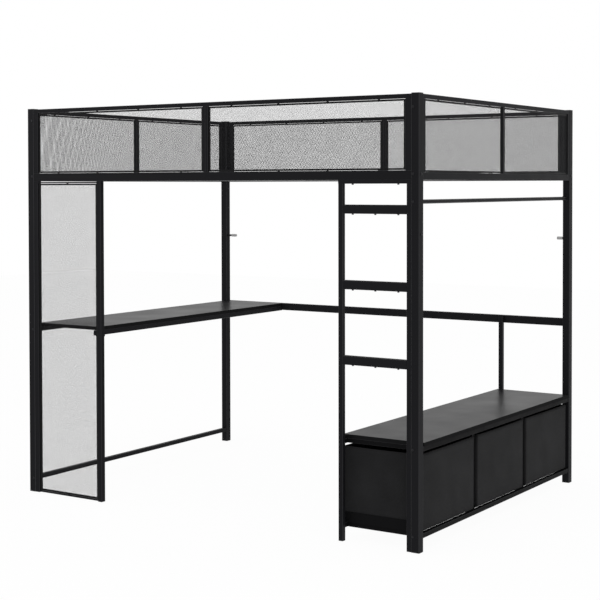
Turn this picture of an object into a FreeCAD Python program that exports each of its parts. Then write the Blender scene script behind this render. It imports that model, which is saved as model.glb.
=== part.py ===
import FreeCAD, Part
import os

# A full-size steel loft bed with a desk under its left end and a storage bench under its right end.
# Millimetres. +X runs along the bed, +Y from its front to its back, +Z up.
# The origin is on the floor, under the centre of the four corner posts.

os.makedirs("parts", exist_ok=True)

# Overall
LENGTH = 1990.0
WIDTH = 1500.0
HEIGHT = 1724.0

# Corner posts, square tubes
POST = 35.0
POST_WALL = 1.5
POST_CORNER_R = 4.0
CAP_T = 3.0
FOOT_T = 3.0
PLUG_LENGTH = 18.0
PLUG_PLAY = 0.2

# Thin tube that everything between the posts is made of, set back from the posts' outer faces
INSET = 2.0
TUBE_WALL = 1.2
TUBE_CORNER_R = 2.0

# Bed rails, slats and centre beam
RAIL_TOP = 1435.0
RAIL_D = 20.0
SIDE_RAIL_H = 36.0
END_RAIL_H = 28.0
END_RAIL_DROP = 8.0
LEDGE_T = 3.0
LEDGE_W = 24.0
BEAM_W = 30.0
SLAT_COUNT = 13
SLAT_W = 38.0
SLAT_H = 12.0
SLAT_END_GAP = 21.0
SLAT_WALL = 1.0
SLAT_CORNER_R = 4.0

# Guard panels
GUARD_TUBE = 13.0
GUARD_TOP_H = 17.0
SIDE_GUARD_END_W = 25.0
END_GUARD_END_W = 18.0
END_GUARD_MID_W = 20.0

# Steel mesh, shared by the guards and the screen
MESH_T = 1.0
MESH_BORDER_W = 7.0
MESH_BORDER_T = 4.0
MESH_GAP = 1.5
MESH_SIDE_GAP = 2.0
TAB_LENGTH = 8.0
TAB_SPACING = 230.0

# Mesh screen at the front left, between an upright beside the post and a leg
LEG_TUBE = 23.0
LEG_X = 404.0
SCREEN_BAR_H = 6.0
SCREEN_TOP_GAP = 3.0

# Desk
DESK_TOP = 761.0
DESK_BOARD_T = 16.0
DESK_LEFT = 30.0
DESK_LEG_GAP = 20.0
DESK_FRONT_GAP = 3.0
DESK_BACK_GAP = 4.0
DESK_NOTCH_PLAY = 1.0
DESK_RAIL_X = 15.0
DESK_RAIL_W = 20.0
DESK_RAIL_H = 22.0
DESK_CROSS_RAILS = 2
DESK_PLATE_T = 3.0
BACK_BAR_H = 36.0
BACK_BAR_D = 20.0
FOOTREST_TOP = 72.0
FOOTREST_TUBE = 20.0
FOOTREST_X = 12.0

# Ladder
LADDER_TUBE = 20.0
LADDER_X = 1635.0
RUNG_H = 35.0
RUNG_COUNT = 3
TOP_RUNG_DROP = 130.0
RUNG_PITCH = 291.5
RUNG_GRIP_T = 2.0
LADDER_PLATE_T = 14.0
NUT_MARGIN = 40.0

# Storage bench
BENCH_TOP = 411.0
BENCH_BOARD_T = 15.0
BENCH_BOARD_GAP = 6.0
BENCH_RAIL_H = 18.0
BENCH_RAIL_W = 20.0
BENCH_FLOOR = 50.0
SHELF_T = 3.0
SHELF_LIP_H = 38.0
DIVIDER_W = 22.0
DIVIDER_D = 20.0

# Fabric bins
BIN_COUNT = 3
BIN_SIDE_GAP = 4.0
BIN_TOP_GAP = 13.0
BIN_INSET = 12.0
BIN_WALL = 6.0
BIN_FLOOR_T = 5.0
BIN_CORNER_R = 8.0
BIN_LIFT = 0.3

# Clothes rod and pegs
ROD_R = 8.0
ROD_WALL = 1.0
ROD_DROP = 110.0
ROD_X_INSET = 22.0
FLANGE_R = 15.0
FLANGE_T = 4.0
PEG_STUD_R = 5.0
PEG_CAP_R = 7.0
PEG_CAP_LENGTH = 27.0
LEFT_PEG_STUD = 26.0
LEFT_PEG_Z = 1112.0
RIGHT_PEG_STUD = 5.0
RIGHT_PEG_Z = 1133.0

# Bolts
BOLT_R = 5.0
BOLT_T = 2.5
BOLT_SHOULDER = 1.2
BOLT_INSET = 27.0
SMALL_BOLT_R = 4.0
SMALL_BOLT_T = 4.0
GUARD_BOLT_DROP = 50.0
LADDER_BOLT_RISE = 36.0

# Reference planes
LEFT = -LENGTH / 2
RIGHT = LENGTH / 2
FRONT = -WIDTH / 2
BACK = WIDTH / 2
POST_TOP = HEIGHT - CAP_T
GUARD_TOP_UNDER = POST_TOP - GUARD_TOP_H

# Clear spans between the posts
SIDE_SPAN = (LEFT + POST, RIGHT - POST)
END_SPAN = (FRONT + POST, BACK - POST)


def block(x, y, z):
    """Solid box from three (low, high) pairs."""
    base = FreeCAD.Vector(x[0], y[0], z[0])
    return Part.makeBox(x[1] - x[0], y[1] - y[0], z[1] - z[0], base)


def round_long_edges(box, along, radius):
    """Round the four edges of a box that run along one axis."""
    extent = {"x": "XLength", "y": "YLength", "z": "ZLength"}[along]
    return box.makeFillet(radius, [e for e in box.Edges if getattr(e.BoundBox, extent) > 0.01])


def tube(x, y, z, along, wall=TUBE_WALL, corner=TUBE_CORNER_R):
    """Rectangular hollow section with rounded corners, open at both ends."""
    spans = {"x": x, "y": y, "z": z}
    inner = {}
    for axis, (low, high) in spans.items():
        inner[axis] = (low, high) if axis == along else (low + wall, high - wall)
    outside = round_long_edges(block(x, y, z), along, corner)
    inside = round_long_edges(block(inner["x"], inner["y"], inner["z"]), along, corner - wall)
    return outside.cut(inside)


def cylinder(radius, length, base, direction):
    """Round bar from a base point."""
    return Part.makeCylinder(radius, length, FreeCAD.Vector(*base), FreeCAD.Vector(*direction))


def span(start, size):
    """The (low, high) pair that starts at a value and is this long."""
    return (start, start + size)


def save(node, *solids):
    """Write one node. A node of several pieces is a compound of separate solids."""
    shape = solids[0] if len(solids) == 1 else Part.makeCompound(list(solids))
    shape.exportStep("parts/" + node + ".step")


def front_plane(depth):
    """Y span of a member this deep in the front plane of the bed."""
    return span(FRONT + INSET, depth)


def back_plane(depth):
    """Y span of a member this deep in the back plane of the bed."""
    return (BACK - INSET - depth, BACK - INSET)


def left_plane(depth):
    """X span of a member this deep in the left end of the bed."""
    return span(LEFT + INSET, depth)


def right_plane(depth):
    """X span of a member this deep in the right end of the bed."""
    return (RIGHT - INSET - depth, RIGHT - INSET)


# Corner posts, each a rectangular tube that stands on a plastic foot and is closed by a plastic cap
POSTS = {
    "front_left": ((LEFT, SIDE_SPAN[0]), (FRONT, END_SPAN[0])),
    "front_right": ((SIDE_SPAN[1], RIGHT), (FRONT, END_SPAN[0])),
    "back_left": ((LEFT, SIDE_SPAN[0]), (END_SPAN[1], BACK)),
    "back_right": ((SIDE_SPAN[1], RIGHT), (END_SPAN[1], BACK)),
}


def stopper(x, y, plate_z, stub_z, wall, corner):
    """Plastic stopper: a plate flush with the tube, and a stub that is pressed into it."""
    reach = wall + PLUG_PLAY
    plate = round_long_edges(block(x, y, plate_z), "z", corner)
    stub = block((x[0] + reach, x[1] - reach), (y[0] + reach, y[1] - reach), stub_z)
    return plate.fuse(round_long_edges(stub, "z", corner - wall)).removeSplitter()


def foot(x, y, wall=TUBE_WALL, corner=TUBE_CORNER_R):
    """The stopper that an upright stands on."""
    return stopper(x, y, (0, FOOT_T), (FOOT_T, FOOT_T + PLUG_LENGTH), wall, corner)


def post_cap(x, y):
    """The stopper that closes a post's top."""
    stub_z = (POST_TOP - PLUG_LENGTH, POST_TOP)
    return stopper(x, y, (POST_TOP, HEIGHT), stub_z, POST_WALL, POST_CORNER_R)


for name, (x, y) in POSTS.items():
    save("post_" + name, tube(x, y, (FOOT_T, POST_TOP), "z", POST_WALL, POST_CORNER_R))
save("post_caps", *[post_cap(x, y) for x, y in POSTS.values()])
save("post_feet", *[foot(x, y, POST_WALL, POST_CORNER_R) for x, y in POSTS.values()])

# Bed rails between the posts, with an angle inside each long one for the slats to lie on
side_rail_z = (RAIL_TOP - SIDE_RAIL_H, RAIL_TOP)
end_rail_top = RAIL_TOP - END_RAIL_DROP
end_rail_z = (end_rail_top - END_RAIL_H, end_rail_top)
front_rail_y = front_plane(RAIL_D)
back_rail_y = back_plane(RAIL_D)
save("side_rail_front", tube(SIDE_SPAN, front_rail_y, side_rail_z, "x"))
save("side_rail_back", tube(SIDE_SPAN, back_rail_y, side_rail_z, "x"))
save("end_rail_left", tube(left_plane(RAIL_D), END_SPAN, end_rail_z, "y"))
save("end_rail_right", tube(right_plane(RAIL_D), END_SPAN, end_rail_z, "y"))

ledge_z = span(side_rail_z[0], LEDGE_T)
ledge_x = (SIDE_SPAN[0] + LEDGE_W, SIDE_SPAN[1] - LEDGE_W)
save(
    "slat_ledges",
    block(ledge_x, span(front_rail_y[1], LEDGE_W), ledge_z),
    block(ledge_x, (back_rail_y[0] - LEDGE_W, back_rail_y[0]), ledge_z),
)

# Centre beam along the bed, and slats in two halves between it and the long rails
slat_z = span(ledge_z[1], SLAT_H)
beam_y = (-BEAM_W / 2, BEAM_W / 2)
beam_x = (LEFT + INSET + RAIL_D, RIGHT - INSET - RAIL_D)
save("centre_beam", tube(beam_x, beam_y, slat_z, "x"))

slat_run = (SIDE_SPAN[0] + SLAT_END_GAP, SIDE_SPAN[1] - SLAT_END_GAP - SLAT_W)
slat_pitch = (slat_run[1] - slat_run[0]) / (SLAT_COUNT - 1)


def slat(x0, y):
    """Flat steel slat with rounded long edges, a thin-walled tube."""
    return tube(span(x0, SLAT_W), y, slat_z, "y", SLAT_WALL, SLAT_CORNER_R)


slat_starts = [slat_run[0] + slat_pitch * i for i in range(SLAT_COUNT)]
save("slats_front", *[slat(x0, (front_rail_y[1], beam_y[0])) for x0 in slat_starts])
save("slats_back", *[slat(x0, (beam_y[1], back_rail_y[0])) for x0 in slat_starts])


# Mesh panels: a sheet of fine steel mesh welded into a flat border, which small tabs hold clear of
# the tubes around it. The mesh's own openings are too fine to model, so the sheet is plain here.
def tab_places(low, high):
    """Even places for the tabs along one side of a panel."""
    count = max(1, round((high - low) / TAB_SPACING))
    step = (high - low) / count
    return [low + step * (i + 0.5) for i in range(count)]


def mesh_panel(along, run, plane, z):
    """One panel in the plane of X or Y. run and z are the clear opening that it hangs in."""
    middle = (plane[0] + plane[1]) / 2
    border = (middle - MESH_BORDER_T / 2, middle + MESH_BORDER_T / 2)
    sheet = (middle - MESH_T / 2, middle + MESH_T / 2)

    def bar(across, deep, tall):
        return block(across, deep, tall) if along == "x" else block(deep, across, tall)

    outer_run = (run[0] + MESH_SIDE_GAP, run[1] - MESH_SIDE_GAP)
    outer_z = (z[0] + MESH_GAP, z[1] - MESH_GAP)
    inner_run = (outer_run[0] + MESH_BORDER_W, outer_run[1] - MESH_BORDER_W)
    inner_z = (outer_z[0] + MESH_BORDER_W, outer_z[1] - MESH_BORDER_W)
    frame = bar(outer_run, border, outer_z).cut(bar(inner_run, border, inner_z))
    pieces = [bar(inner_run, sheet, inner_z)]
    for place in tab_places(*outer_run):
        tab_run = (place - TAB_LENGTH / 2, place + TAB_LENGTH / 2)
        pieces.append(bar(tab_run, border, (z[0], outer_z[0])))
        pieces.append(bar(tab_run, border, (outer_z[1], z[1])))
    for place in tab_places(*outer_z):
        tab_z = (place - TAB_LENGTH / 2, place + TAB_LENGTH / 2)
        pieces.append(bar((run[0], outer_run[0]), border, tab_z))
        pieces.append(bar((outer_run[1], run[1]), border, tab_z))
    return frame.multiFuse(pieces).removeSplitter()


# Guard panels on the long sides: two halves that meet at the middle of the bed
guard_z = (RAIL_TOP, GUARD_TOP_UNDER)
guard_top_z = (GUARD_TOP_UNDER, POST_TOP)


def side_guard(name, y):
    """Both half panels of one long side, each a top tube on two uprights, and their mesh."""
    meshes = []
    halves = {
        "left": (SIDE_SPAN[0], 0.0, SIDE_GUARD_END_W, GUARD_TUBE),
        "right": (0.0, SIDE_SPAN[1], GUARD_TUBE, SIDE_GUARD_END_W),
    }
    for side, (low, high, low_w, high_w) in halves.items():
        save(
            "guard_frame_" + name + "_" + side,
            tube((low, high), y, guard_top_z, "x"),
            tube(span(low, low_w), y, guard_z, "z"),
            tube((high - high_w, high), y, guard_z, "z"),
        )
        meshes.append(mesh_panel("x", (low + low_w, high - high_w), y, guard_z))
    save("guard_mesh_" + name, *meshes)


side_guard("front", front_plane(GUARD_TUBE))
side_guard("back", back_plane(GUARD_TUBE))


# Guard panels on the short ends: one frame with a middle upright
def end_guard(name, x):
    """The frame of one end guard and its two mesh panels."""
    low, high = END_SPAN
    middle = (low + high) / 2
    mid = (middle - END_GUARD_MID_W / 2, middle + END_GUARD_MID_W / 2)
    first = span(low, END_GUARD_END_W)
    last = (high - END_GUARD_END_W, high)
    rise = (end_rail_top, guard_z[1])
    uprights = [tube(x, y, rise, "z") for y in (first, mid, last)]
    save("guard_frame_" + name, tube(x, END_SPAN, guard_top_z, "y"), *uprights)
    bays = [(first[1], mid[0]), (mid[1], last[0])]
    save("guard_mesh_" + name, *[mesh_panel("y", bay, x, rise) for bay in bays])


end_guard("left", left_plane(GUARD_TUBE))
end_guard("right", right_plane(GUARD_TUBE))

# Mesh screen beside the desk: two uprights under the front rail, a bar above and below, and mesh
leg_x = span(LEFT + LEG_X, LEG_TUBE)
leg_y = front_plane(LEG_TUBE)
screen_side_x = span(SIDE_SPAN[0], LEG_TUBE)
under_rail_z = (FOOT_T, side_rail_z[0])
save("screen_uprights", *[tube(x, leg_y, under_rail_z, "z") for x in (screen_side_x, leg_x)])

screen_run = (screen_side_x[1], leg_x[0])
screen_bar_y = front_plane(GUARD_TUBE)
screen_bar_top = side_rail_z[0] - SCREEN_TOP_GAP
upper_bar_z = (screen_bar_top - SCREEN_BAR_H, screen_bar_top)
lower_bar_z = span(FOOT_T, SCREEN_BAR_H)
save(
    "screen_bars",
    block(screen_run, screen_bar_y, upper_bar_z),
    block(screen_run, screen_bar_y, lower_bar_z),
)
save("screen_mesh", mesh_panel("x", screen_run, screen_bar_y, (lower_bar_z[1], upper_bar_z[0])))

# Back bar at desk height, along the whole back between the posts
back_bar_y = back_plane(BACK_BAR_D - INSET)
back_bar_z = (DESK_TOP - BACK_BAR_H, DESK_TOP)
save("back_bar", tube(SIDE_SPAN, back_bar_y, back_bar_z, "x"))

# Desk along the left end: a board, notched round the back post, on two long rails and cross rails
desk_x = (LEFT + DESK_LEFT, leg_x[0] - DESK_LEG_GAP)
desk_y = (END_SPAN[0] + DESK_FRONT_GAP, back_bar_y[0] - DESK_BACK_GAP)
desk_under = DESK_TOP - DESK_BOARD_T
desk_rail_z = (desk_under - DESK_RAIL_H, desk_under)
desk_board = block(desk_x, desk_y, (desk_under, DESK_TOP))
notch_x = (LEFT, SIDE_SPAN[0] + DESK_NOTCH_PLAY)
notch_y = (END_SPAN[1] - DESK_NOTCH_PLAY, BACK)
save("desk_board", desk_board.cut(block(notch_x, notch_y, (desk_under, DESK_TOP))))

# The left rail runs from post to post. The right one ends on a plate bolted behind the screen's leg.
plate_y = span(leg_y[1], DESK_PLATE_T)
left_rail_x = span(LEFT + DESK_RAIL_X, DESK_RAIL_W)
left_desk_rail = tube(left_rail_x, END_SPAN, desk_rail_z, "y")
right_rail_x = (desk_x[1] - DESK_RAIL_W, desk_x[1])
right_desk_rail = tube(right_rail_x, (plate_y[1], back_bar_y[0]), desk_rail_z, "y")
save("desk_rails", left_desk_rail, right_desk_rail)
save("desk_plate", block((right_rail_x[0], leg_x[1]), plate_y, desk_rail_z))

cross_run = (left_rail_x[1], right_rail_x[0])
cross_rails = []
for i in range(DESK_CROSS_RAILS):
    middle = desk_y[0] + (desk_y[1] - desk_y[0]) * (i + 1) / (DESK_CROSS_RAILS + 1)
    cross_y = (middle - DESK_RAIL_W / 2, middle + DESK_RAIL_W / 2)
    cross_rails.append(tube(cross_run, cross_y, desk_rail_z, "x"))
save("desk_cross_rails", *cross_rails)

# Footrest bar low down between the two left posts
footrest_z = (FOOTREST_TOP - FOOTREST_TUBE, FOOTREST_TOP)
save("footrest_bar", tube(span(LEFT + FOOTREST_X, FOOTREST_TUBE), END_SPAN, footrest_z, "y"))

# Ladder: two uprights, of which one stands beside the front right post, and three box rungs with
# grip strips on top
ladder_x = span(LEFT + LADDER_X, LADDER_TUBE)
ladder_side_x = (SIDE_SPAN[1] - LADDER_TUBE, SIDE_SPAN[1])
ladder_y = front_plane(LADDER_TUBE)
ladder_plate_z = (side_rail_z[0] - LADDER_PLATE_T, side_rail_z[0])
save(
    "ladder_uprights",
    tube(ladder_x, ladder_y, (FOOT_T, ladder_plate_z[0]), "z"),
    tube(ladder_side_x, ladder_y, (FOOT_T, ladder_plate_z[0]), "z"),
)
save("ladder_top_plate", block((ladder_x[0], ladder_side_x[1]), ladder_y, ladder_plate_z))

rung_x = (ladder_x[1], ladder_side_x[0])
rung_tops = [RAIL_TOP - TOP_RUNG_DROP - RUNG_PITCH * i for i in range(RUNG_COUNT)]
for i, top in enumerate(rung_tops):
    under_grip = top - RUNG_GRIP_T
    save("ladder_rung_" + str(i + 1), tube(rung_x, ladder_y, (top - RUNG_H, under_grip), "x"))
save("rung_grips", *[block(rung_x, ladder_y, (top - RUNG_GRIP_T, top)) for top in rung_tops])

# Storage bench: a top and a bottom frame between the ladder upright, the right posts and a leg that
# stands in front of the back bar
bench_leg_y = (back_bar_y[0] - LADDER_TUBE, back_bar_y[0])
save("bench_back_leg", tube(ladder_x, bench_leg_y, (FOOT_T, DESK_TOP), "z"))

bench_under = BENCH_TOP - BENCH_BOARD_T
bench_front_x = right_plane(BENCH_RAIL_W)
bench_inner_y = (ladder_y[1], bench_leg_y[0])
bench_span = (END_SPAN[0], bench_leg_y[0])
support_x = (ladder_x[1], bench_front_x[0])
board_y = (bench_span[0] + BENCH_BOARD_GAP, bench_span[1] - BENCH_BOARD_GAP)


def bench_frame(z):
    """Four tubes at one height: right (front of the bench), left, near end and far end."""
    return [
        tube(bench_front_x, END_SPAN, z, "y"),
        tube(ladder_x, bench_inner_y, z, "y"),
        tube(support_x, span(board_y[0], BENCH_RAIL_W), z, "x"),
        tube(support_x, (board_y[1] - BENCH_RAIL_W, board_y[1]), z, "x"),
    ]


bench_top_z = (bench_under - BENCH_RAIL_H, bench_under)
bench_low_z = span(BENCH_FLOOR, BENCH_RAIL_H)
save("bench_top_frame", *bench_frame(bench_top_z))
save("bench_low_frame", *bench_frame(bench_low_z))

save("bench_board", block((ladder_x[0], RIGHT), board_y, (bench_under, BENCH_TOP)))

# Shelf under the bins, with an upright lip at its near and far ends
shelf_top = bench_low_z[1] + SHELF_T
lip_z = span(shelf_top, SHELF_LIP_H)
shelf_x = (ladder_x[0], bench_front_x[0])
save("bench_shelf", block(shelf_x, bench_span, (bench_low_z[1], shelf_top)))
save(
    "bench_shelf_lips",
    block(shelf_x, span(bench_span[0], SHELF_T), lip_z),
    block(shelf_x, (bench_span[1] - SHELF_T, bench_span[1]), lip_z),
)

# Dividers behind the bench's front tubes part it into equal bays, with a rail under the shelf at each
bay = (bench_span[1] - bench_span[0] - DIVIDER_W * (BIN_COUNT - 1)) / BIN_COUNT
divider_y = [span(bench_span[0] + bay * (i + 1) + DIVIDER_W * i, DIVIDER_W) for i in range(BIN_COUNT - 1)]
divider_x = (bench_front_x[0] - DIVIDER_D, bench_front_x[0])
save("bench_dividers", *[tube(divider_x, y, (shelf_top, bench_under), "z") for y in divider_y])
save("bench_cross_rails", *[tube(support_x, y, bench_low_z, "x") for y in divider_y])

# Fabric bins, one in each bay, open at the top and drawn out to the right
bin_x = (ladder_x[0], RIGHT - BIN_INSET)
bin_z = (shelf_top + BIN_LIFT, bench_top_z[0] - BIN_TOP_GAP)


def fabric_bin(y):
    """Open box with walls of one thickness and rounded upright corners."""
    outside = round_long_edges(block(bin_x, y, bin_z), "z", BIN_CORNER_R)
    inside = block(
        (bin_x[0] + BIN_WALL, bin_x[1] - BIN_WALL),
        (y[0] + BIN_WALL, y[1] - BIN_WALL),
        (bin_z[0] + BIN_FLOOR_T, bin_z[1]),
    )
    return outside.cut(round_long_edges(inside, "z", BIN_CORNER_R - BIN_WALL))


for i in range(BIN_COUNT):
    start = bench_span[0] + (bay + DIVIDER_W) * i
    save("bin_" + str(i + 1), fabric_bin((start + BIN_SIDE_GAP, start + bay - BIN_SIDE_GAP)))

# Feet of the five thinner uprights
save(
    "leg_feet",
    foot(screen_side_x, leg_y),
    foot(leg_x, leg_y),
    foot(ladder_x, ladder_y),
    foot(ladder_side_x, ladder_y),
    foot(ladder_x, bench_leg_y),
)

# Clothes rod across the right end, in a round flange at each post
rod_x = RIGHT - ROD_X_INSET
rod_z = RAIL_TOP - ROD_DROP - ROD_R
rod_y = (END_SPAN[0] + FLANGE_T, END_SPAN[1] - FLANGE_T)
rod = cylinder(ROD_R, rod_y[1] - rod_y[0], (rod_x, rod_y[0], rod_z), (0, 1, 0))
rod_bore = cylinder(ROD_R - ROD_WALL, rod_y[1] - rod_y[0], (rod_x, rod_y[0], rod_z), (0, 1, 0))
save("clothes_rod", rod.cut(rod_bore))
save(
    "rod_flanges",
    cylinder(FLANGE_R, FLANGE_T, (rod_x, END_SPAN[0], rod_z), (0, 1, 0)),
    cylinder(FLANGE_R, FLANGE_T, (rod_x, rod_y[1], rod_z), (0, 1, 0)),
)


# Pegs on the inner faces of the back posts, each a stud with a thicker round cap on its end
def peg(face_x, towards, stud_length, z):
    """The stud and the cap of a peg that stands out from a post face along X, towards +1 or -1."""
    y = BACK - POST / 2
    stud = cylinder(PEG_STUD_R, stud_length, (face_x, y, z), (towards, 0, 0))
    cap_base = (face_x + towards * stud_length, y, z)
    return stud, cylinder(PEG_CAP_R, PEG_CAP_LENGTH, cap_base, (towards, 0, 0))


left_stud, left_cap = peg(SIDE_SPAN[0], 1, LEFT_PEG_STUD, LEFT_PEG_Z)
right_stud, right_cap = peg(SIDE_SPAN[1], -1, RIGHT_PEG_STUD, RIGHT_PEG_Z)
save("peg_studs", left_stud, right_stud)
save("peg_caps", left_cap, right_cap)


# Bolt heads: button heads on the outer faces of the posts, where the rails and the rod are fixed
def bolt_head(centre, direction):
    """Low round head with a sloping shoulder, its flat side on the post."""
    axis = FreeCAD.Vector(*direction)
    foot_of_shoulder = FreeCAD.Vector(*centre) + axis * (BOLT_T - BOLT_SHOULDER)
    rim = cylinder(BOLT_R, BOLT_T - BOLT_SHOULDER, centre, direction)
    crown = Part.makeCone(BOLT_R, BOLT_R - BOLT_SHOULDER, BOLT_SHOULDER, foot_of_shoulder, axis)
    return rim.fuse(crown)


guard_bolt_z = POST_TOP - GUARD_BOLT_DROP
rail_bolt_z = RAIL_TOP - END_RAIL_H / 2
desk_bolt_z = desk_under - DESK_RAIL_H / 2
footrest_bolt_z = FOOTREST_TOP - FOOTREST_TUBE / 2
bench_top_bolt_z = bench_under - BENCH_RAIL_H / 2
bench_low_bolt_z = BENCH_FLOOR + BENCH_RAIL_H / 2
side_bolt_x = RIGHT - BOLT_INSET
end_bolt_y = BACK - POST / 2

side_places = [(side * side_bolt_x, z) for side in (-1, 1) for z in (guard_bolt_z, rail_bolt_z)]
side_places += [(-side_bolt_x, desk_bolt_z), (-side_bolt_x, footrest_bolt_z), (side_bolt_x, rod_z)]
side_places += [(side_bolt_x, bench_top_bolt_z), (side_bolt_x, bench_low_bolt_z)]
save("bolt_heads_front", *[bolt_head((x, FRONT, z), (0, -1, 0)) for x, z in side_places])
save("bolt_heads_back", *[bolt_head((x, BACK, z), (0, 1, 0)) for x, z in side_places])

ladder_bolt_z = (rung_tops[0] + rung_tops[1]) / 2 + LADDER_BOLT_RISE
end_heads = [bolt_head((LEFT, side * end_bolt_y, rail_bolt_z), (-1, 0, 0)) for side in (-1, 1)]
end_heads += [bolt_head((RIGHT, side * end_bolt_y, rail_bolt_z), (1, 0, 0)) for side in (-1, 1)]
end_heads.append(bolt_head((RIGHT, -end_bolt_y, ladder_bolt_z), (1, 0, 0)))
save("bolt_heads_ends", *end_heads)

# Nuts under the rungs and under the plate at the ladder's top
nut_places = [rung_x[0] + NUT_MARGIN, (rung_x[0] + rung_x[1]) / 2, rung_x[1] - NUT_MARGIN]
ladder_middle_y = (ladder_y[0] + ladder_y[1]) / 2
nuts = []
for top in rung_tops:
    for x in nut_places:
        nuts.append(cylinder(SMALL_BOLT_R, SMALL_BOLT_T, (x, ladder_middle_y, top - RUNG_H), (0, 0, -1)))
for x in (nut_places[0], nut_places[2]):
    nuts.append(cylinder(SMALL_BOLT_R, SMALL_BOLT_T, (x, ladder_middle_y, ladder_plate_z[0]), (0, 0, -1)))
save("ladder_nuts", *nuts)
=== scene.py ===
import math

import bpy
import numpy as np
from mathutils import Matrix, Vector


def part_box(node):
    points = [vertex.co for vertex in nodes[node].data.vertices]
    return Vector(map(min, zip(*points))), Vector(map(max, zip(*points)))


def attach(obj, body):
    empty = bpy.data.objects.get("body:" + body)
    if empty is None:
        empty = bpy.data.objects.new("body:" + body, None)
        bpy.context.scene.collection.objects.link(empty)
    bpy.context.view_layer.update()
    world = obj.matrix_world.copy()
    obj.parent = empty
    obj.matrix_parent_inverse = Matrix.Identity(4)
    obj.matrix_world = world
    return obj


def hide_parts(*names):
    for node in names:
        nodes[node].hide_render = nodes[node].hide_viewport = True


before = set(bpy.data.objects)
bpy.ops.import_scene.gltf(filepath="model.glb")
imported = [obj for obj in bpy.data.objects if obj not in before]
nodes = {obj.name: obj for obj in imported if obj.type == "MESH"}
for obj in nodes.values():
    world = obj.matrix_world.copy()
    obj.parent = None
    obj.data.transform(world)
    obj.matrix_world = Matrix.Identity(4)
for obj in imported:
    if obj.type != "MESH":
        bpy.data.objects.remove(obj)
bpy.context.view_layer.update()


# ---------------------------------------------------------------- the room
# A white studio: a floor of translucent paper lit strongly from below, white air all round, and
# soft lamps above, at the left and, as a narrow strip, at the right.

def mesh_object(name, points, *faces, smooth=False):
    """A mesh from an array of points (n x 3) and arrays of quads or triangles, placed by its points."""
    mesh = bpy.data.meshes.new(name)
    mesh.from_pydata(points.tolist(), [], [face for group in faces for face in group.tolist()])
    mesh.polygons.foreach_set("use_smooth", np.full(len(mesh.polygons), smooth))
    mesh.update()
    obj = bpy.data.objects.new(name, mesh)
    bpy.context.scene.collection.objects.link(obj)
    return obj


def colour(code):
    """An sRGB hex code as a linear colour. A channel up to 0.04045 is divided by 12.92. A higher
    one has 0.055 added, is divided by 1.055 and is raised to the power 2.4."""
    value = np.array([int(code[i:i + 2], 16) for i in (1, 3, 5)]) / 255
    linear = np.where(value <= 0.04045, value / 12.92, ((value + 0.055) / 1.055) ** 2.4)
    return (*linear.tolist(), 1.0)


def add_node(tree, kind, links=(), **settings):
    """Add one node. settings are its properties, inputs the values of its inputs by name, and
    links pairs of an input's name and the socket that feeds it."""
    node = tree.nodes.new("ShaderNode" + kind)
    inputs = settings.pop("inputs", {})
    for key, value in settings.items():
        setattr(node, key, value)
    for key, value in inputs.items():
        node.inputs[key].default_value = value
    for key, source in links:
        tree.links.new(source, node.inputs[key])
    return node


def new_material(name):
    """An empty material with its output, ready for a shader."""
    material = bpy.data.materials.new(name)
    material.use_nodes = True
    tree = material.node_tree
    tree.nodes.clear()
    return material, tree, tree.nodes.new("ShaderNodeOutputMaterial")


# The glow makes the paper white. It reflects little, so the lamps leave hardly any shade on it.
sweep_material, tree, out = new_material("matt white studio paper, lit from below")
shade = add_node(
    tree, "BsdfPrincipled",
    inputs={"Base Color": colour("#303030"), "Roughness": 0.9, "Specular IOR Level": 0.0,
            "Emission Color": colour("#ffffff"), "Emission Strength": 0.96},
)
tree.links.new(shade.outputs[0], out.inputs["Surface"])

FLOOR_HALF = 12.0
floor = mesh_object(
    "studio_floor",
    FLOOR_HALF * np.array([[-1, -1, 0], [1, -1, 0], [1, 1, 0], [-1, 1, 0]]),
    np.array([[0, 1, 2, 3]]),
)
floor.data.materials.append(sweep_material)

world = bpy.data.worlds.new("studio_air")
world.use_nodes = True
world.node_tree.nodes["Background"].inputs["Color"].default_value = colour("#ffffff")
world.node_tree.nodes["Background"].inputs["Strength"].default_value = 1.0
bpy.context.scene.world = world


def light_panel(name, place, aim, width, height, power):
    """A soft rectangular lamp at a place, turned to face a point."""
    lamp = bpy.data.lights.new(name, "AREA")
    lamp.shape = "RECTANGLE"
    lamp.size = width
    lamp.size_y = height
    lamp.energy = power
    obj = bpy.data.objects.new(name, lamp)
    obj.location = place
    obj.rotation_euler = (Vector(aim) - Vector(place)).to_track_quat("-Z", "Y").to_euler()
    bpy.context.scene.collection.objects.link(obj)


light_panel(
    "panel_above", place=(0.5, -0.8, 4.2), aim=(0, 0, 0.8), width=4.0, height=3.0, power=40,
)
light_panel(
    "panel_right", place=(4.7, -2.7, 1.4), aim=(1, -0.7, 0.9), width=0.2, height=3.2, power=9,
)
light_panel(
    "panel_left", place=(-4.5, -4.0, 2.2), aim=(0, 0, 0.9), width=2.0, height=3.0, power=26,
)

bpy.context.scene.view_settings.view_transform = "Standard"

# The camera stands at the front right, a little below the bed, and looks slightly down.
CAMERA_PLACE = (3.43035, -5.30497, 1.37810)
CAMERA_DOWN = 0.0245
CAMERA_ROLL = 0.0017
CAMERA_TURN = 0.5769
camera_data = bpy.data.cameras.new("camera")
camera_data.sensor_width = 36.0
camera_data.lens = 83.04
camera_data.shift_y = -0.1341
camera_data.clip_end = 60.0
camera = bpy.data.objects.new("camera", camera_data)
camera.location = CAMERA_PLACE
camera.rotation_euler = (math.pi / 2 - CAMERA_DOWN, CAMERA_ROLL, CAMERA_TURN)
bpy.context.scene.collection.objects.link(camera)
bpy.context.scene.camera = camera


# ---------------------------------------------------------------- posts, rails, ladder and bench frame
# Cold-rolled square and flat steel tube, welded, sprayed with static-charged black polyester
# powder, baked and bolted together. The coat is satin, with the faint dimpled skin of powder.

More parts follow.
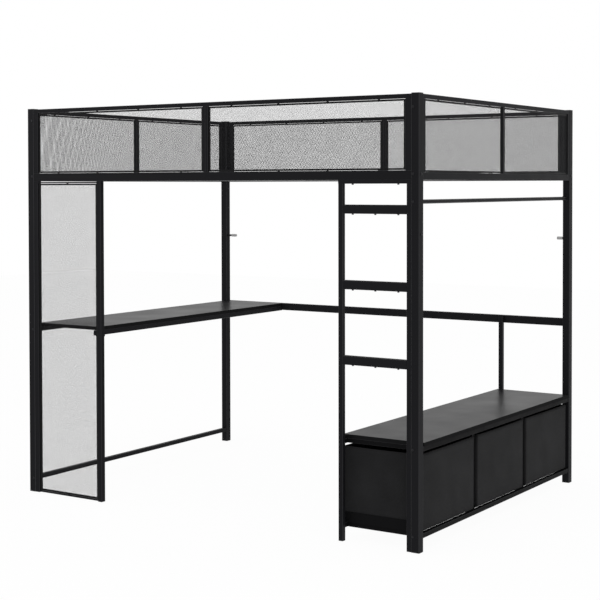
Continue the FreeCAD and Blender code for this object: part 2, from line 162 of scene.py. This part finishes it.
def powder_coat(name, base, roughness, dimple_mm, gleam):
    """Baked black powder, whose skin has dimples this many millimetres across: a noise has spots
    about half as wide as one over its scale. Round corners are painted paler, a painted highlight
    that stands in for light caught on them: bend is one less the largest size among the normal's x,
    y and z, which is 0 on a flat side and 0.29 halfway round a corner."""
    material, tree, out = new_material(name)
    place = add_node(tree, "TexCoord").outputs["Object"]
    skin = add_node(
        tree, "TexNoise", [("Vector", place)], inputs={"Scale": 500 / dimple_mm, "Detail": 2.0}
    )
    cloudy = add_node(tree, "TexNoise", [("Vector", place)], inputs={"Scale": 9.0, "Detail": 3.0})
    tone = add_node(
        tree, "MapRange", [("Value", cloudy.outputs["Fac"])],
        inputs={"From Min": 0.35, "From Max": 0.65, "To Min": roughness - 0.03, "To Max": roughness + 0.05},
    )
    bump = add_node(
        tree, "Bump", [("Height", skin.outputs["Fac"])], inputs={"Strength": 0.12, "Distance": 0.0002}
    )
    normal = add_node(tree, "TexCoord").outputs["Normal"]
    size = add_node(tree, "VectorMath", [(0, normal)], operation="ABSOLUTE")
    side = add_node(tree, "SeparateXYZ", [("Vector", size.outputs["Vector"])])
    most = add_node(tree, "Math", [(0, side.outputs["X"]), (1, side.outputs["Y"])], operation="MAXIMUM")
    most = add_node(tree, "Math", [(0, most.outputs[0]), (1, side.outputs["Z"])], operation="MAXIMUM")
    bend = add_node(tree, "Math", [(1, most.outputs[0])], operation="SUBTRACT", inputs={0: 1.0})
    # Painted highlight: round corners are mixed towards a paler grey, #404042, where light would catch
    # them. thin is this painted highlight's mask, not thinner powder.
    thin = add_node(
        tree, "MapRange", [("Value", bend.outputs[0])], inputs={"From Min": 0.08, "From Max": 0.26}
    )
    coat_and_highlight = add_node(
        tree, "MixRGB", [("Fac", thin.outputs["Result"])],
        inputs={"Color1": colour(base), "Color2": colour("#404042")},
    )
    shade = add_node(
        tree, "BsdfPrincipled",
        [("Base Color", coat_and_highlight.outputs["Color"]), ("Roughness", tone.outputs["Result"]),
         ("Normal", bump.outputs["Normal"])],
        inputs={"Specular IOR Level": gleam},
    )
    tree.links.new(shade.outputs[0], out.inputs["Surface"])
    return material


def finish_nodes(material, *names):
    """Give these CAD pieces one material in all their slots."""
    for name in names:
        for slot in nodes[name].material_slots:
            slot.material = material


frame_coat = powder_coat(
    "satin black powder coat", base="#18181a", roughness=0.34, dimple_mm=1.0, gleam=0.03,
)
finish_nodes(
    frame_coat,
    "post_front_left", "post_front_right", "post_back_left", "post_back_right",
    "side_rail_front", "side_rail_back", "end_rail_left", "end_rail_right",
    "guard_frame_front_left", "guard_frame_front_right", "guard_frame_back_left",
    "guard_frame_back_right", "guard_frame_left", "guard_frame_right",
    "screen_uprights", "screen_bars", "back_bar", "footrest_bar",
    "desk_rails", "desk_plate", "desk_cross_rails",
    "ladder_uprights", "ladder_top_plate", "ladder_rung_1", "ladder_rung_2", "ladder_rung_3",
    "bench_back_leg", "clothes_rod", "rod_flanges", "peg_studs",
)

# The bench's frame, shelf and dividers have a flatter coat, and a darker base that is painted shade: they
# sit low, under and between the bins, where shade falls.
bench_shaded_coat = powder_coat(
    "matt black powder coat, darkened as painted shade", base="#0d0d0e", roughness=0.5, dimple_mm=1.2, gleam=0.03,
)
finish_nodes(
    bench_shaded_coat,
    "bench_top_frame", "bench_low_frame", "bench_cross_rails", "bench_dividers", "bench_shelf",
    "bench_shelf_lips",
)


# ---------------------------------------------------------------- slats and what carries them
# Roll-formed flat steel slats on angle ledges and a centre beam. They are thin stock with a thin
# coat of the same powder, glossier than the frame's.

slat_coat = powder_coat(
    "thin black powder coat on slats", base="#121213", roughness=0.36, dimple_mm=1.4, gleam=0.35,
)
finish_nodes(slat_coat, "slats_front", "slats_back", "slat_ledges", "centre_beam")


# ---------------------------------------------------------------- mesh of the guards and the screen
# Steel mesh of flat diagonal strands, 0.6 mm across, in diamonds of 4.2 by 6 mm. It is welded to a
# flat steel border, which tabs hold just clear of the tubes, and coated with the same powder. From
# a few steps away it reads as an even grey veil.

STRAND = 0.00059
STRAND_DEPTH = 0.00018
DIAMOND = (0.0042, 0.0060)
BORDER_WIDTH = 0.007
BORDER_DEPTH = 0.004
BORDER_GAP = (0.002, 0.0015)
TAB = 0.008
TAB_SPACING = 0.230
SIDE_UPRIGHT = 0.026
END_UPRIGHT = 0.020


def boxes(low, high):
    """Points and quads of boxes along the axes. The eight corners of a box are counted in binary,
    and a digit that is set takes the high x, y or z instead of the low one."""
    low, high = np.atleast_2d(low), np.atleast_2d(high)
    bits = (np.arange(8)[:, None] >> np.arange(3)) & 1
    points = np.where(bits[None], high[:, None], low[:, None]).reshape(-1, 3)
    one = np.array([[0, 2, 3, 1], [4, 5, 7, 6], [0, 1, 5, 4], [2, 6, 7, 3], [0, 4, 6, 2], [1, 3, 7, 5]])
    faces = (one[None] + 8 * np.arange(len(low))[:, None, None]).reshape(-1, 4)
    return points, faces


def strands(start, end, level):
    """Flat strands in a panel's own plane: each line from start to end (n x 2) carries a prism
    with edges half a strand to each side of it and half its depth before and behind its level."""
    way = end - start
    way = way / np.linalg.norm(way, axis=1, keepdims=True)
    side = np.stack([-way[:, 1], way[:, 0]], axis=1) * STRAND / 2
    ring = [(-1, -1), (1, -1), (1, 1), (-1, 1)]
    rows = []
    for place in (start, end):
        for across, out_of in ring:
            flat = place + side * across
            rows.append(np.column_stack([flat, np.full(len(flat), level + out_of * STRAND_DEPTH / 2)]))
    points = np.stack(rows, axis=1).reshape(-1, 3)
    one = np.array([[0, 1, 5, 4], [1, 2, 6, 5], [2, 3, 7, 6], [3, 0, 4, 7], [3, 2, 1, 0], [4, 5, 6, 7]])
    faces = (one[None] + 8 * np.arange(len(start))[:, None, None]).reshape(-1, 4)
    return points, faces


def diamond_lines(width, height, lean):
    """Ends of the parallel lines that cross a width by height rectangle, one diamond apart and cut
    off at its edges. Each leans by ratio, a diamond's width over its height, from a place c on the
    line of the bottom edge. It enters at the left or the bottom edge, whichever it meets higher up,
    and leaves at the top or the right one, whichever it meets lower down. A lean of -1 mirrors the
    lines left to right."""
    ratio = DIAMOND[0] / DIAMOND[1]
    c = np.arange(-height * ratio + DIAMOND[0] / 2, width, DIAMOND[0])
    v0 = np.maximum(0, -c / ratio)
    v1 = np.minimum(height, (width - c) / ratio)
    keep = v1 - v0 > STRAND
    c, v0, v1 = c[keep], v0[keep], v1[keep]
    start = np.stack([c + v0 * ratio, v0], axis=1)
    end = np.stack([c + v1 * ratio, v1], axis=1)
    if lean < 0:
        start[:, 0] = width - start[:, 0]
        end[:, 0] = width - end[:, 0]
    return start, end


def tab_middles(low, high):
    """Places for tabs along one side: the middles of equal stretches about TAB_SPACING long."""
    count = max(1, round((high - low) / TAB_SPACING))
    return low + (high - low) / count * (np.arange(count) + 0.5)


def join(parts):
    """Several (points, quads) sets as one: each set's quads count on from the points before it."""
    counts = np.cumsum([0] + [len(points) for points, _ in parts])
    points = np.concatenate([points for points, _ in parts])
    faces = np.concatenate([faces + count for (_, faces), count in zip(parts, counts)])
    return points, faces


def panel(run, rise):
    """Points and quads of one mesh panel in the opening run by rise, in its own plane: u along,
    v up, w out of it. The border is four bars, the tabs are small boxes, and two layers of
    strands lie one behind the other where they cross."""
    u0, u1 = run[0] + BORDER_GAP[0], run[1] - BORDER_GAP[0]
    v0, v1 = rise[0] + BORDER_GAP[1], rise[1] - BORDER_GAP[1]
    bar, deep, tab = BORDER_WIDTH, BORDER_DEPTH / 2, TAB / 2
    bars = [
        [(u0, v0, -deep), (u1, v0 + bar, deep)],
        [(u0, v1 - bar, -deep), (u1, v1, deep)],
        [(u0, v0 + bar, -deep), (u0 + bar, v1 - bar, deep)],
        [(u1 - bar, v0 + bar, -deep), (u1, v1 - bar, deep)],
    ]
    for u in tab_middles(u0, u1):
        bars.append([(u - tab, rise[0], -deep), (u + tab, v0, deep)])
        bars.append([(u - tab, v1, -deep), (u + tab, rise[1], deep)])
    for v in tab_middles(v0, v1):
        bars.append([(run[0], v - tab, -deep), (u0, v + tab, deep)])
        bars.append([(u1, v - tab, -deep), (run[1], v + tab, deep)])
    bars = np.array(bars)
    parts = [boxes(bars[:, 0], bars[:, 1])]
    inside = np.array([u0 + bar - STRAND, v0 + bar - STRAND])
    width, height = u1 - u0 - 2 * bar + 2 * STRAND, v1 - v0 - 2 * bar + 2 * STRAND
    for lean in (1, -1):
        start, end = diamond_lines(width, height, lean)
        parts.append(strands(start + inside, end + inside, lean * STRAND_DEPTH / 2))
    return join(parts)


def stand_panel(points, along, plane):
    """Turn a panel's u, v, w into the bed's own axes: u along X or Y, v up, w through the plane."""
    if along == "x":
        return np.stack([points[:, 0], plane - points[:, 2], points[:, 1]], axis=1)
    return np.stack([plane + points[:, 2], points[:, 0], points[:, 1]], axis=1)


mesh_coat = powder_coat(
    "black powder coat on mesh", base="#101011", roughness=0.45, dimple_mm=1.0, gleam=0.08,
)
for node, along, upright in (
    ("guard_mesh_front", "x", SIDE_UPRIGHT), ("guard_mesh_back", "x", SIDE_UPRIGHT),
    ("guard_mesh_left", "y", END_UPRIGHT), ("guard_mesh_right", "y", END_UPRIGHT),
    ("screen_mesh", "x", 0.0),
):
    low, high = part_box(node)
    run, through = (0, 1) if along == "x" else (1, 0)
    plane = (low[through] + high[through]) / 2
    bays = [(low[run], high[run])]
    if upright:
        bays = [(low[run], -upright / 2), (upright / 2, high[run])]
    points, faces = join([panel(bay, (low[2], high[2])) for bay in bays])
    piece = mesh_object(node + "_strands", stand_panel(points, along, plane), faces)
    piece.data.materials.append(mesh_coat)
    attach(piece, "frame")
    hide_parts(node)


# ---------------------------------------------------------------- desk and bench boards
# Particleboard faced above and below with black printed paper under a clear melamine layer. That
# layer is fairly smooth, so it mirrors the white room at a low angle, with a very fine pressed
# grain. The edges are banded in matt black plastic.

board_face, tree, out = new_material("black melamine on particleboard")
place = add_node(tree, "TexCoord").outputs["Object"]
stretch = add_node(tree, "Mapping", [("Vector", place)], inputs={"Scale": (900.0, 60.0, 900.0)})
grain = add_node(
    tree, "TexNoise", [("Vector", stretch.outputs["Vector"])], inputs={"Scale": 1.0, "Detail": 3.0}
)
smudge = add_node(tree, "TexNoise", [("Vector", place)], inputs={"Scale": 5.0, "Detail": 4.0})
gloss = add_node(
    tree, "MapRange", [("Value", smudge.outputs["Fac"])],
    inputs={"From Min": 0.3, "From Max": 0.7, "To Min": 0.28, "To Max": 0.36},
)
facing = add_node(tree, "SeparateXYZ", [("Vector", add_node(tree, "TexCoord").outputs["Normal"])])
upward = add_node(tree, "Math", [(0, facing.outputs["Z"])], operation="ABSOLUTE")
clear_layer = add_node(
    tree, "MapRange", [("Value", upward.outputs[0])],
    inputs={"From Min": 0.6, "From Max": 0.9, "To Min": 0.06, "To Max": 0.57},
)
bump = add_node(
    tree, "Bump", [("Height", grain.outputs["Fac"])], inputs={"Strength": 0.06, "Distance": 0.0001}
)
shade = add_node(
    tree, "BsdfPrincipled",
    [("Coat Roughness", gloss.outputs["Result"]), ("Normal", bump.outputs["Normal"]),
     ("Coat Normal", bump.outputs["Normal"]), ("Coat Weight", clear_layer.outputs["Result"])],
    inputs={"Base Color": colour("#121213"), "Roughness": 0.8, "Specular IOR Level": 0.0},
)
tree.links.new(shade.outputs[0], out.inputs["Surface"])
finish_nodes(board_face, "desk_board", "bench_board")

# The banded edges are eased by 1 mm.
CORNER_SLACK = 0.0001
EASED_EDGE = 0.001
for name in ("desk_board", "bench_board"):
    weld = nodes[name].modifiers.new("join_corners", "WELD")
    weld.merge_threshold = CORNER_SLACK
    edge = nodes[name].modifiers.new("eased_edge", "BEVEL")
    edge.width = EASED_EDGE
    edge.segments = 2
    edge.limit_method = "ANGLE"


# ---------------------------------------------------------------- fabric bins
# Open bins of charcoal polyester cloth over stiff board, one in each bay of the bench. The sides
# bow a little between the corners, a cord is sewn into each corner and round the base, and the
# cloth is turned over the rim and hemmed.

BIN_WALL = 0.006
BIN_CORNER = 0.008
BASE_EDGE = 0.004
BASE_STEP_IN = 0.001
BIN_FLOOR = 0.005
FLOOR_FILLET = 0.002
BOW = 0.0012
SAG = 0.0012
CREASE = 0.0003
CORNER_CORD = 0.0006
CORNER_CORD_SPREAD = 0.16
HEM = 0.0005
HEM_DEPTH = 0.022
HEM_SOFTNESS = 0.0006
BASE_CORD = 0.0002
BASE_CORD_UP = 0.007
BASE_CORD_SPREAD = 0.0016


def grid_faces(rows, columns, wrap=False):
    """Quads between neighbouring points of a grid counted row by row; wrap joins the last column
    to the first."""
    r, c = np.meshgrid(np.arange(rows - 1), np.arange(columns if wrap else columns - 1), indexing="ij")
    after = (c + 1) % columns
    quad = [r * columns + c, r * columns + after, (r + 1) * columns + after, (r + 1) * columns + c]
    return np.stack(quad, axis=-1).reshape(-1, 4)


def rounded_ring(half_x, half_y, radius, side_count, corner_count):
    """Points, outward directions, distance walked and place along the side for a rectangle with
    round corners: four straight runs, each followed by a quarter circle of this radius. The place
    goes from -1 to 1 along a straight run and from 1 to 2 round the corner after it."""
    spots, outs, along = [], [], []
    for k in range(4):
        turn = np.array([[math.cos(k * math.pi / 2), -math.sin(k * math.pi / 2)],
                         [math.sin(k * math.pi / 2), math.cos(k * math.pi / 2)]])
        a, b = (half_x, half_y) if k % 2 == 0 else (half_y, half_x)
        t = np.linspace(-1, 1, side_count, endpoint=False)
        straight = np.stack([np.full(side_count, a), t * (b - radius)], axis=1)
        angle = np.linspace(0, math.pi / 2, corner_count, endpoint=False)
        arc = np.stack([a - radius + radius * np.cos(angle), b - radius + radius * np.sin(angle)], axis=1)
        out_line = np.tile([1.0, 0.0], (side_count, 1))
        out_arc = np.stack([np.cos(angle), np.sin(angle)], axis=1)
        spots.append(np.concatenate([straight, arc]) @ turn.T)
        outs.append(np.concatenate([out_line, out_arc]) @ turn.T)
        along.append(np.concatenate([t, 1 + angle / (math.pi / 2)]))
    spots, outs, along = np.concatenate(spots), np.concatenate(outs), np.concatenate(along)
    step = np.linalg.norm(np.diff(spots, axis=0, prepend=spots[:1]), axis=1)
    return spots, outs, np.cumsum(step), along


def bin_path(tall):
    """Stations (inset, height, shrink) that carry the ring: out across the base, a quarter circle
    round its edge, up the outside, a half circle over the rim, down the inside and in across the
    floor. In the base and the floor the ring also shrinks towards a pole."""
    quarter = np.linspace(0, math.pi / 2, 5)
    rim = np.linspace(0, math.pi, 7)
    outside = np.linspace(BASE_EDGE, tall - BIN_WALL / 2, 35)[1:]
    inside = np.linspace(tall - BIN_WALL, BIN_FLOOR + FLOOR_FILLET, 18)
    flat = np.ones(4)
    inset = np.concatenate([
        (BASE_EDGE + BASE_STEP_IN) * flat, BASE_EDGE - BASE_EDGE * np.sin(quarter), np.zeros(len(outside)),
        BIN_WALL / 2 - BIN_WALL / 2 * np.cos(rim), np.full(len(inside), BIN_WALL),
        (BIN_WALL + FLOOR_FILLET) * flat,
    ])
    height = np.concatenate([
        0 * flat, BASE_EDGE - BASE_EDGE * np.cos(quarter), outside,
        tall - BIN_WALL / 2 + BIN_WALL / 2 * np.sin(rim), inside, BIN_FLOOR * flat,
    ])
    towards_pole = [0.9, 0.6, 0.3]
    shrink = np.concatenate([towards_pole[::-1], np.ones(len(height) - 6), towards_pole])
    return inset, height, shrink


def bin_cloth(name, low, high, seed):
    """The ring carried up the path. Each outside point moves out by the bow, which is greatest at
    mid height and fades to the corners with the fourth power of the place along the side, plus
    crossed sine creases. The middle of each corner and the foot of each side have a raised,
    bell-shaped cord, and the cloth stands out by the hem above a soft step below the rim. Near the
    rim the points also sink by the sag, which fades to the corners with the square of the place."""
    low, high = np.array(low), np.array(high)
    middle = (low + high) / 2
    half = (high - low) / 2
    tall = high[2] - low[2]
    spots, outs, walked, side = rounded_ring(
        half[0], half[1], BIN_CORNER, side_count=56, corner_count=12,
    )
    inset, height, shrink = bin_path(tall)
    share = height / tall
    outside = np.clip((BIN_WALL - inset) / BIN_WALL, 0, 1) * (height > 0)
    flatness = 1 - np.minimum(np.abs(side), 1) ** 4
    # Sines of 9 to 61 radians per metre: creases some 100 to 700 mm apart.
    crease = (
        np.sin(walked[None] * 23 + 31 * height[:, None] + seed)
        * np.sin(walked[None] * 9 - 17 * height[:, None] + 2.3 * seed)
        + 0.5 * np.sin(walked[None] * 61 + 12 * height[:, None] + 1.7 * seed)
    )
    move = BOW * flatness[None] * np.sin(math.pi * share)[:, None] + CREASE * crease * flatness[None]
    move = move + CORNER_CORD * np.exp(-(((side - 1.5) / CORNER_CORD_SPREAD) ** 2))[None]
    move = move + HEM / (1 + np.exp(-(height - (tall - HEM_DEPTH)) / HEM_SOFTNESS))[:, None]
    move = move + BASE_CORD * np.exp(-(((height - BASE_CORD_UP) / BASE_CORD_SPREAD) ** 2))[:, None]
    move = move * outside[:, None] - inset[:, None]
    ring = (spots[None] + outs[None] * move[..., None]) * shrink[:, None, None]
    sag = SAG * (1 - np.minimum(np.abs(side), 1) ** 2)[None] * ((share > 0.9) * share)[:, None]
    z = low[2] + height[:, None] - sag
    points = np.concatenate([ring + middle[:2], z[..., None]], axis=2).reshape(-1, 3)
    rows, columns = len(height), len(side)
    poles = np.array([[*middle[:2], low[2]], [*middle[:2], low[2] + BIN_FLOOR]])
    here = np.arange(columns)
    after = (here + 1) % columns
    top = (rows - 1) * columns
    base_fan = np.stack([np.full(columns, rows * columns), after, here], axis=1)
    floor_fan = np.stack([np.full(columns, rows * columns + 1), top + here, top + after], axis=1)
    return mesh_object(
        name, np.concatenate([points, poles]), grid_faces(rows, columns, wrap=True), base_fan, floor_fan,
        smooth=True,
    )


def wave_scale(pitch):
    """The scale that sets a wave's bands this far apart: two pi over twenty times the pitch."""
    return 1 / pitch / 20 * math.pi * 2


# Woven polyester scatters the light, so the bins look dark and flat, with a faint fleck.
cloth, tree, out = new_material("charcoal polyester cloth")
place = add_node(tree, "TexCoord").outputs["Object"]
# Threads 0.6 mm apart would be too fine to see, so they are drawn 1.6 mm apart.
THREAD_PITCH = 0.0016
warp = add_node(
    tree, "TexWave", [("Vector", place)], bands_direction="Z",
    inputs={"Scale": wave_scale(THREAD_PITCH), "Distortion": 1.5, "Detail": 1.0, "Detail Scale": 4.0},
)
tilt = add_node(tree, "Mapping", [("Vector", place)], inputs={"Rotation": (0.0, 0.0, math.radians(45))})
weft = add_node(
    tree, "TexWave", [("Vector", tilt.outputs["Vector"])], bands_direction="X",
    inputs={"Scale": wave_scale(THREAD_PITCH), "Distortion": 1.5, "Detail": 1.0, "Detail Scale": 4.0},
)
weave = add_node(
    tree, "Math", [(0, warp.outputs["Fac"]), (1, weft.outputs["Fac"])], operation="MAXIMUM"
)
fleck = add_node(tree, "TexNoise", [("Vector", place)], inputs={"Scale": 260.0, "Detail": 4.0})
patch = add_node(tree, "TexNoise", [("Vector", place)], inputs={"Scale": 7.0, "Detail": 3.0})
shades = add_node(tree, "ValToRGB", [("Fac", fleck.outputs["Fac"])])
shades.color_ramp.elements[0].position = 0.35
shades.color_ramp.elements[0].color = colour("#191919")
shades.color_ramp.elements[1].position = 0.68
shades.color_ramp.elements[1].color = colour("#222224")
worn = add_node(tree, "ValToRGB", [("Fac", patch.outputs["Fac"])])
worn.color_ramp.elements[0].position = 0.3
worn.color_ramp.elements[0].color = colour("#d2d2d2")
worn.color_ramp.elements[1].position = 0.7
worn.color_ramp.elements[1].color = colour("#ffffff")
mixed = add_node(
    tree, "MixRGB", [("Color1", shades.outputs["Color"]), ("Color2", worn.outputs["Color"])],
    blend_type="MULTIPLY", inputs={"Fac": 1.0},
)
bump = add_node(
    tree, "Bump", [("Height", weave.outputs[0])], inputs={"Strength": 0.5, "Distance": 0.0004}
)
shade = add_node(
    tree, "BsdfPrincipled", [("Base Color", mixed.outputs["Color"]), ("Normal", bump.outputs["Normal"])],
    inputs={"Roughness": 0.9, "Specular IOR Level": 0.1, "Sheen Weight": 0.03, "Sheen Roughness": 0.5},
)
tree.links.new(shade.outputs[0], out.inputs["Surface"])

for k in (1, 2, 3):
    node = f"bin_{k}"
    low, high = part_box(node)
    piece = bin_cloth(node + "_cloth", low, high, seed=1.3 * k)
    piece.data.materials.append(cloth)
    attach(piece, node + "_body")
    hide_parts(node)


# ---------------------------------------------------------------- plastic caps and feet
# Stoppers of black polypropylene, pressed into the tubes' open ends. They are injection moulded,
# with a fine spark-eroded grain that dulls them.

moulded, tree, out = new_material("black moulded polypropylene")
place = add_node(tree, "TexCoord").outputs["Object"]
pits = add_node(tree, "TexNoise", [("Vector", place)], inputs={"Scale": 1400.0, "Detail": 2.0})
bump = add_node(
    tree, "Bump", [("Height", pits.outputs["Fac"])], inputs={"Strength": 0.3, "Distance": 0.0001}
)
shade = add_node(
    tree, "BsdfPrincipled", [("Normal", bump.outputs["Normal"])],
    inputs={"Base Color": colour("#121212"), "Roughness": 0.55, "Specular IOR Level": 0.25},
)
tree.links.new(shade.outputs[0], out.inputs["Surface"])
finish_nodes(moulded, "post_caps", "post_feet", "leg_feet")


# ---------------------------------------------------------------- grip strips on the rungs
# Extruded black rubber strips glued to the tops of the rungs. Their ribs are 3 mm apart, run the
# rung's length and keep a foot from slipping.

RIB_PITCH = 0.003
rubber, tree, out = new_material("ribbed black rubber")
place = add_node(tree, "TexCoord").outputs["Object"]
ribs = add_node(
    tree, "TexWave", [("Vector", place)], bands_direction="Y",
    inputs={"Scale": wave_scale(RIB_PITCH), "Distortion": 0.0},
)
bump = add_node(
    tree, "Bump", [("Height", ribs.outputs["Fac"])], inputs={"Strength": 0.6, "Distance": 0.0008}
)
shade = add_node(
    tree, "BsdfPrincipled", [("Normal", bump.outputs["Normal"])],
    inputs={"Base Color": colour("#151515"), "Roughness": 0.7, "Specular IOR Level": 0.3},
)
tree.links.new(shade.outputs[0], out.inputs["Surface"])
finish_nodes(rubber, "rung_grips")


# ---------------------------------------------------------------- bolts, nuts and pegs
# Black oxide steel screws and nuts. Oil darkens the oxide, which keeps a soft metal gleam. The pegs'
# caps are pale grey moulded plastic.

oxide, tree, out = new_material("black oxide steel")
place = add_node(tree, "TexCoord").outputs["Object"]
stain = add_node(tree, "TexNoise", [("Vector", place)], inputs={"Scale": 300.0, "Detail": 3.0})
tone = add_node(
    tree, "MapRange", [("Value", stain.outputs["Fac"])],
    inputs={"From Min": 0.3, "From Max": 0.7, "To Min": 0.28, "To Max": 0.42},
)
shade = add_node(
    tree, "BsdfPrincipled", [("Roughness", tone.outputs["Result"])],
    inputs={"Base Color": colour("#2a2a2c"), "Metallic": 1.0},
)
tree.links.new(shade.outputs[0], out.inputs["Surface"])
finish_nodes(oxide, "bolt_heads_front", "bolt_heads_back", "bolt_heads_ends", "ladder_nuts")

pale, tree, out = new_material("pale grey moulded plastic")
shade = add_node(
    tree, "BsdfPrincipled",
    inputs={"Base Color": colour("#9a9a9a"), "Roughness": 0.45, "Specular IOR Level": 0.4},
)
tree.links.new(shade.outputs[0], out.inputs["Surface"])
finish_nodes(pale, "peg_caps")
